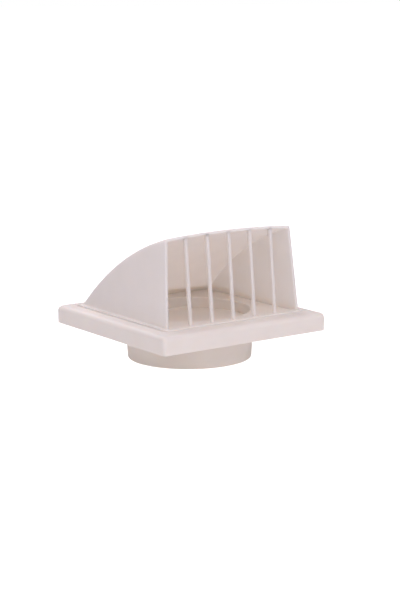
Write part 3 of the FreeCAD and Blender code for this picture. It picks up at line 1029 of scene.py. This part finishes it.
def drawn_steel():
    """Wire with fine scratches along its length."""
    material = new_material("drawn_steel", Metallic=1.0)
    along = add_noise(material, 5200, 3, stretch=(0.02, 1, 1))
    color_by(material, add_noise(material, 300, 3), (0.50, 0.49, 0.47), (0.64, 0.63, 0.62))
    roughness_by(material, along, 0.22, 0.42)
    bump_by(material, [(along, 0.01)])
    return material


def plated_steel():
    """Zinc plating with a mottled, slightly cloudy surface."""
    material = new_material("plated_steel", Metallic=1.0)
    color_by(material, add_noise(material, 900, 4), (0.56, 0.57, 0.58), (0.72, 0.72, 0.71))
    roughness_by(material, add_noise(material, 1600, 4), 0.24, 0.46)
    bump_by(material, [(add_noise(material, 3500, 3), 0.01)])
    return material


hood_plastic = moulded_plastic("hood_plastic", 0.45, 0.02)
glow_by_height(hood_plastic, SILL_Z + FOOT_FILLET_R, SILL_Z + 3 * FOOT_FILLET_R)
plate_plastic = moulded_plastic("plate_plastic", 0.5, 0.02)
spigot_plastic = moulded_plastic("spigot_plastic", 0.5, 0.025)
flap_plastic = moulded_plastic("flap_plastic", 0.38, 0.012)
pin_steel = drawn_steel()
screw_steel = plated_steel()

# ---- assembly -----------------------------------------------------------------------------------
finished(hood(), "hood_shell", "housing", hood_plastic, ["cowl_hood"])
for number, (low, high) in enumerate(BAR_BOXES, 1):
    node = "grille_bar_%d" % number
    finished(grille_bar(low, high), "bar_%d" % number, "housing", hood_plastic, [node])
finished(flange_plate(), "flange_shell", "housing", plate_plastic, ["flange_plate"])
finished(spigot(), "spigot_tube", "housing", spigot_plastic, ["spigot"])
finished(flap(), "flap_disc", "shutter", flap_plastic, ["flap"])
pin = pin_rod(PIN_R, PIN_HALF, PIN_CHAMFER).mesh("hinge_pin_skin")
finished(pin, "hinge_rod", "housing", pin_steel, ["hinge_pin"])
for number, turn in enumerate(DIAGONALS, 1):
    name = "clamp_screw_%d" % number
    finished(screw(turn), name, "housing", screw_steel, ["clamp_screws"])

# ---- floor --------------------------------------------------------------------------------------
FLOOR_HALF = 30.0
floor_shell = Shell()
reach = FLOOR_HALF / MM
floor_shell.face([(-reach, -reach, SPIGOT_END_Z), (reach, -reach, SPIGOT_END_Z),
                  (reach, reach, SPIGOT_END_Z), (-reach, reach, SPIGOT_END_Z)])
floor = add_object(floor_shell.mesh("floor"), "floor")
paper = new_material("paper", Roughness=0.9, Emission_Color=(1, 1, 1, 1))
color_by(paper, add_noise(paper, 30, 3), (0.88, 0.88, 0.88), (0.92, 0.92, 0.92))
glow = paper.node_tree.nodes.new("ShaderNodeMapRange")
glow.inputs["To Min"].default_value = FLOOR_GLOW
glow.inputs["To Max"].default_value = FLOOR_SEEN
rays = paper.node_tree.nodes.new("ShaderNodeLightPath")
paper.node_tree.links.new(rays.outputs["Is Camera Ray"], glow.inputs["Value"])
paper_shader = paper.node_tree.nodes["Principled BSDF"]
paper.node_tree.links.new(glow.outputs["Result"], paper_shader.inputs["Emission Strength"])
floor.data.materials.append(paper)

# ---- camera -------------------------------------------------------------------------------------
CAMERA_AZIMUTH = math.radians(-35.58)
CAMERA_ELEVATION = math.radians(11.07)
CAMERA_ROLL = math.radians(-0.255)
CAMERA_PLACE = (-0.685, -0.9718, 0.2533)
SENSOR = 36.0
LENS = 93.78
FARTHEST = 100                  # metres, past the floor's far edge


def away(azimuth, elevation):
    """Unit vector from the object towards a viewer or light; azimuth 0 is in front of the mouth."""
    flat = math.cos(elevation)
    return Vector((math.sin(azimuth) * flat, -math.cos(azimuth) * flat, math.sin(elevation)))


def add_camera():
    data = bpy.data.cameras.new("camera")
    data.sensor_width = SENSOR
    data.lens = LENS
    data.clip_end = FARTHEST
    camera = bpy.data.objects.new("camera", data)
    facing = away(CAMERA_AZIMUTH, CAMERA_ELEVATION).to_track_quat("Z", "Y").to_matrix().to_4x4()
    roll = Matrix.Rotation(CAMERA_ROLL, 4, "Z")
    camera.matrix_world = Matrix.Translation(CAMERA_PLACE) @ facing @ roll
    bpy.context.scene.collection.objects.link(camera)
    bpy.context.scene.camera = camera


# ---- light --------------------------------------------------------------------------------------
def add_light(name, azimuth, elevation, power):
    """Square soft box aimed at the object."""
    direction = away(math.radians(azimuth), math.radians(elevation))
    data = bpy.data.lights.new(name, "AREA")
    data.size = LIGHT_SIZE
    data.energy = power
    data.color = LIGHT_TINT
    light = bpy.data.objects.new(name, data)
    light.location = direction * LIGHT_DISTANCE + Vector((0, 0, LIGHT_AIM_Z))
    light.rotation_euler = direction.to_track_quat("Z", "Y").to_euler()
    bpy.context.scene.collection.objects.link(light)


def add_surroundings():
    """White studio to the camera, and a soft tinted fill light to the object."""
    world = bpy.data.worlds.new("studio")
    bpy.context.scene.world = world
    world.use_nodes = True
    nodes = world.node_tree.nodes
    links = world.node_tree.links
    rays = nodes.new("ShaderNodeLightPath")
    seen = nodes.new("ShaderNodeMix")
    seen.data_type = "RGBA"
    fill, white = [socket for socket in seen.inputs if socket.type == "RGBA"]
    fill.default_value = (*[channel * WORLD_LIGHT for channel in LIGHT_TINT], 1)
    white.default_value = (1, 1, 1, 1)
    result = [socket for socket in seen.outputs if socket.type == "RGBA"][0]
    links.new(rays.outputs["Is Camera Ray"], seen.inputs["Factor"])
    links.new(result, nodes["Background"].inputs["Color"])


add_camera()
add_surroundings()
for soft_box in SOFT_BOXES:
    add_light(*soft_box)
bpy.context.scene.view_settings.view_transform = "Standard"
bpy.context.scene.cycles.diffuse_bounces = DIFFUSE_BOUNCES
bpy.context.scene.cycles.max_bounces = 2 * DIFFUSE_BOUNCES
